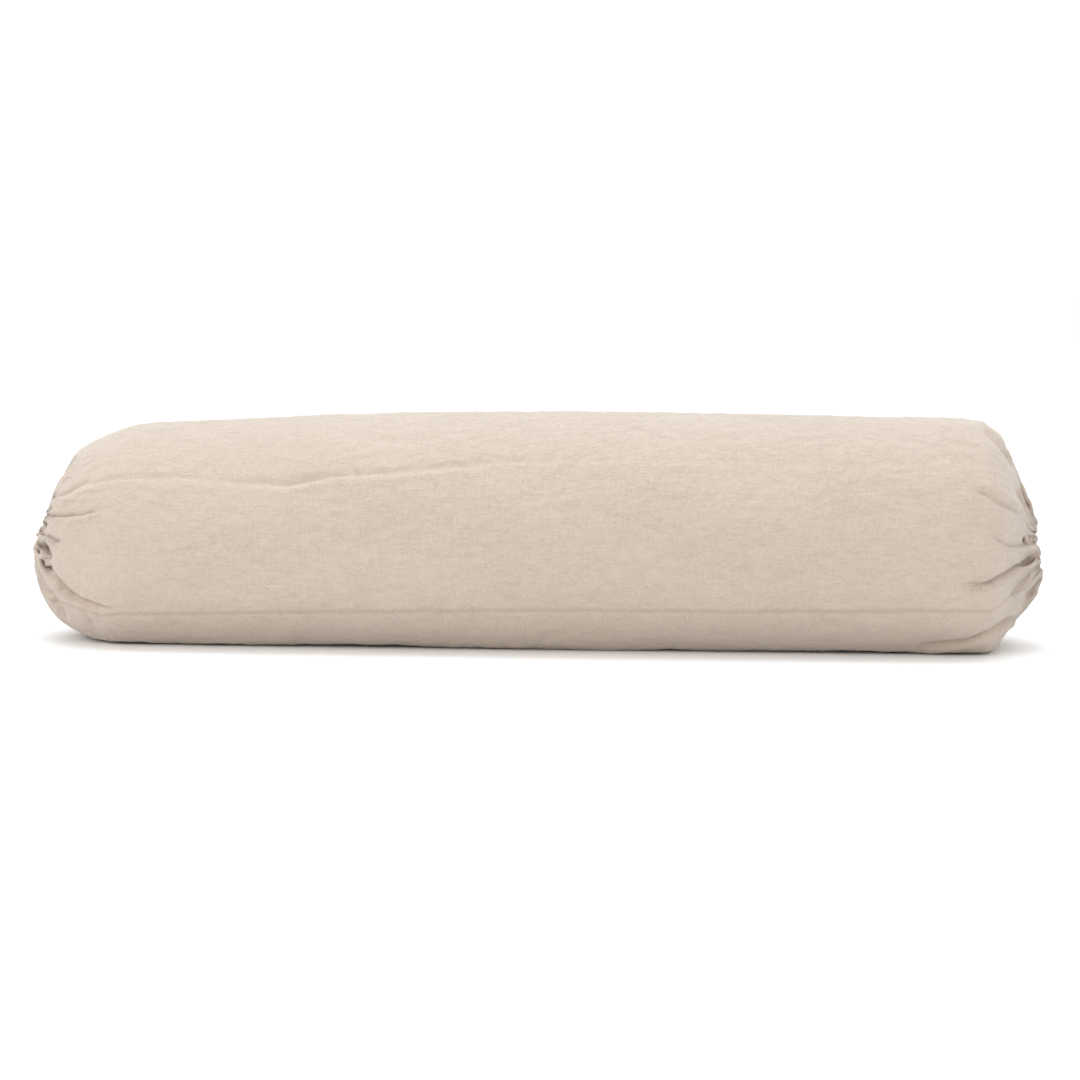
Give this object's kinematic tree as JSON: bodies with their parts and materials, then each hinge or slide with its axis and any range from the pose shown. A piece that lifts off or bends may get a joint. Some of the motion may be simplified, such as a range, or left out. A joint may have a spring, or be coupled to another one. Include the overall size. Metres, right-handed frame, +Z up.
{
  "type": "bolster pillow",
  "caption": "Long round bolster pillow in a removable linen cover, softly gathered at both ends by drawcords, over a zipped fibre-filled insert.",
  "frame": {"origin": "on the surface the bolster lies on, under the middle of its length and width", "axes": "+X along the bolster, to the right when seen from the front; +Y to the back, where the insert's zip is; +Z up"},
  "size_m": [1, 0.25, 0.228],
  "materials": {
    "linen": "matte",
    "cord": "matte",
    "cotton": "matte",
    "filling": "matte",
    "label": "satin",
    "coil": "satin",
    "zip_metal": "satin"
  },
  "bodies": {
    "root": {"cover_panel": "linen", "cover_long_seam": "linen", "care_label": "label", "left_hem_channel": "linen", "left_drawcord": "cord", "left_cord_knot": "cord", "left_end_panel": "cotton", "left_end_seam": "cotton", "left_end_fill": "filling", "right_hem_channel": "linen", "right_drawcord": "cord", "right_cord_knot": "cord", "right_end_panel": "cotton", "right_end_seam": "cotton", "right_end_fill": "filling", "casing_tube": "cotton", "wadding_wrap": "filling", "fibre_core": "filling", "zip_lower_tape": "cotton", "zip_lower_coil": "coil", "zip_lower_top_stop": "zip_metal", "zip_upper_tape": "cotton", "zip_upper_coil": "coil", "zip_upper_top_stop": "zip_metal", "zip_bottom_stop": "zip_metal"},
    "slider": {"zip_slider": "zip_metal"}
  },
  "joints": [
    {"name": "zip_slide", "type": "slide", "parent": "root", "child": "slider", "axis": [1, 0, 0], "range_m": [-0.46, 0]}
  ]
}
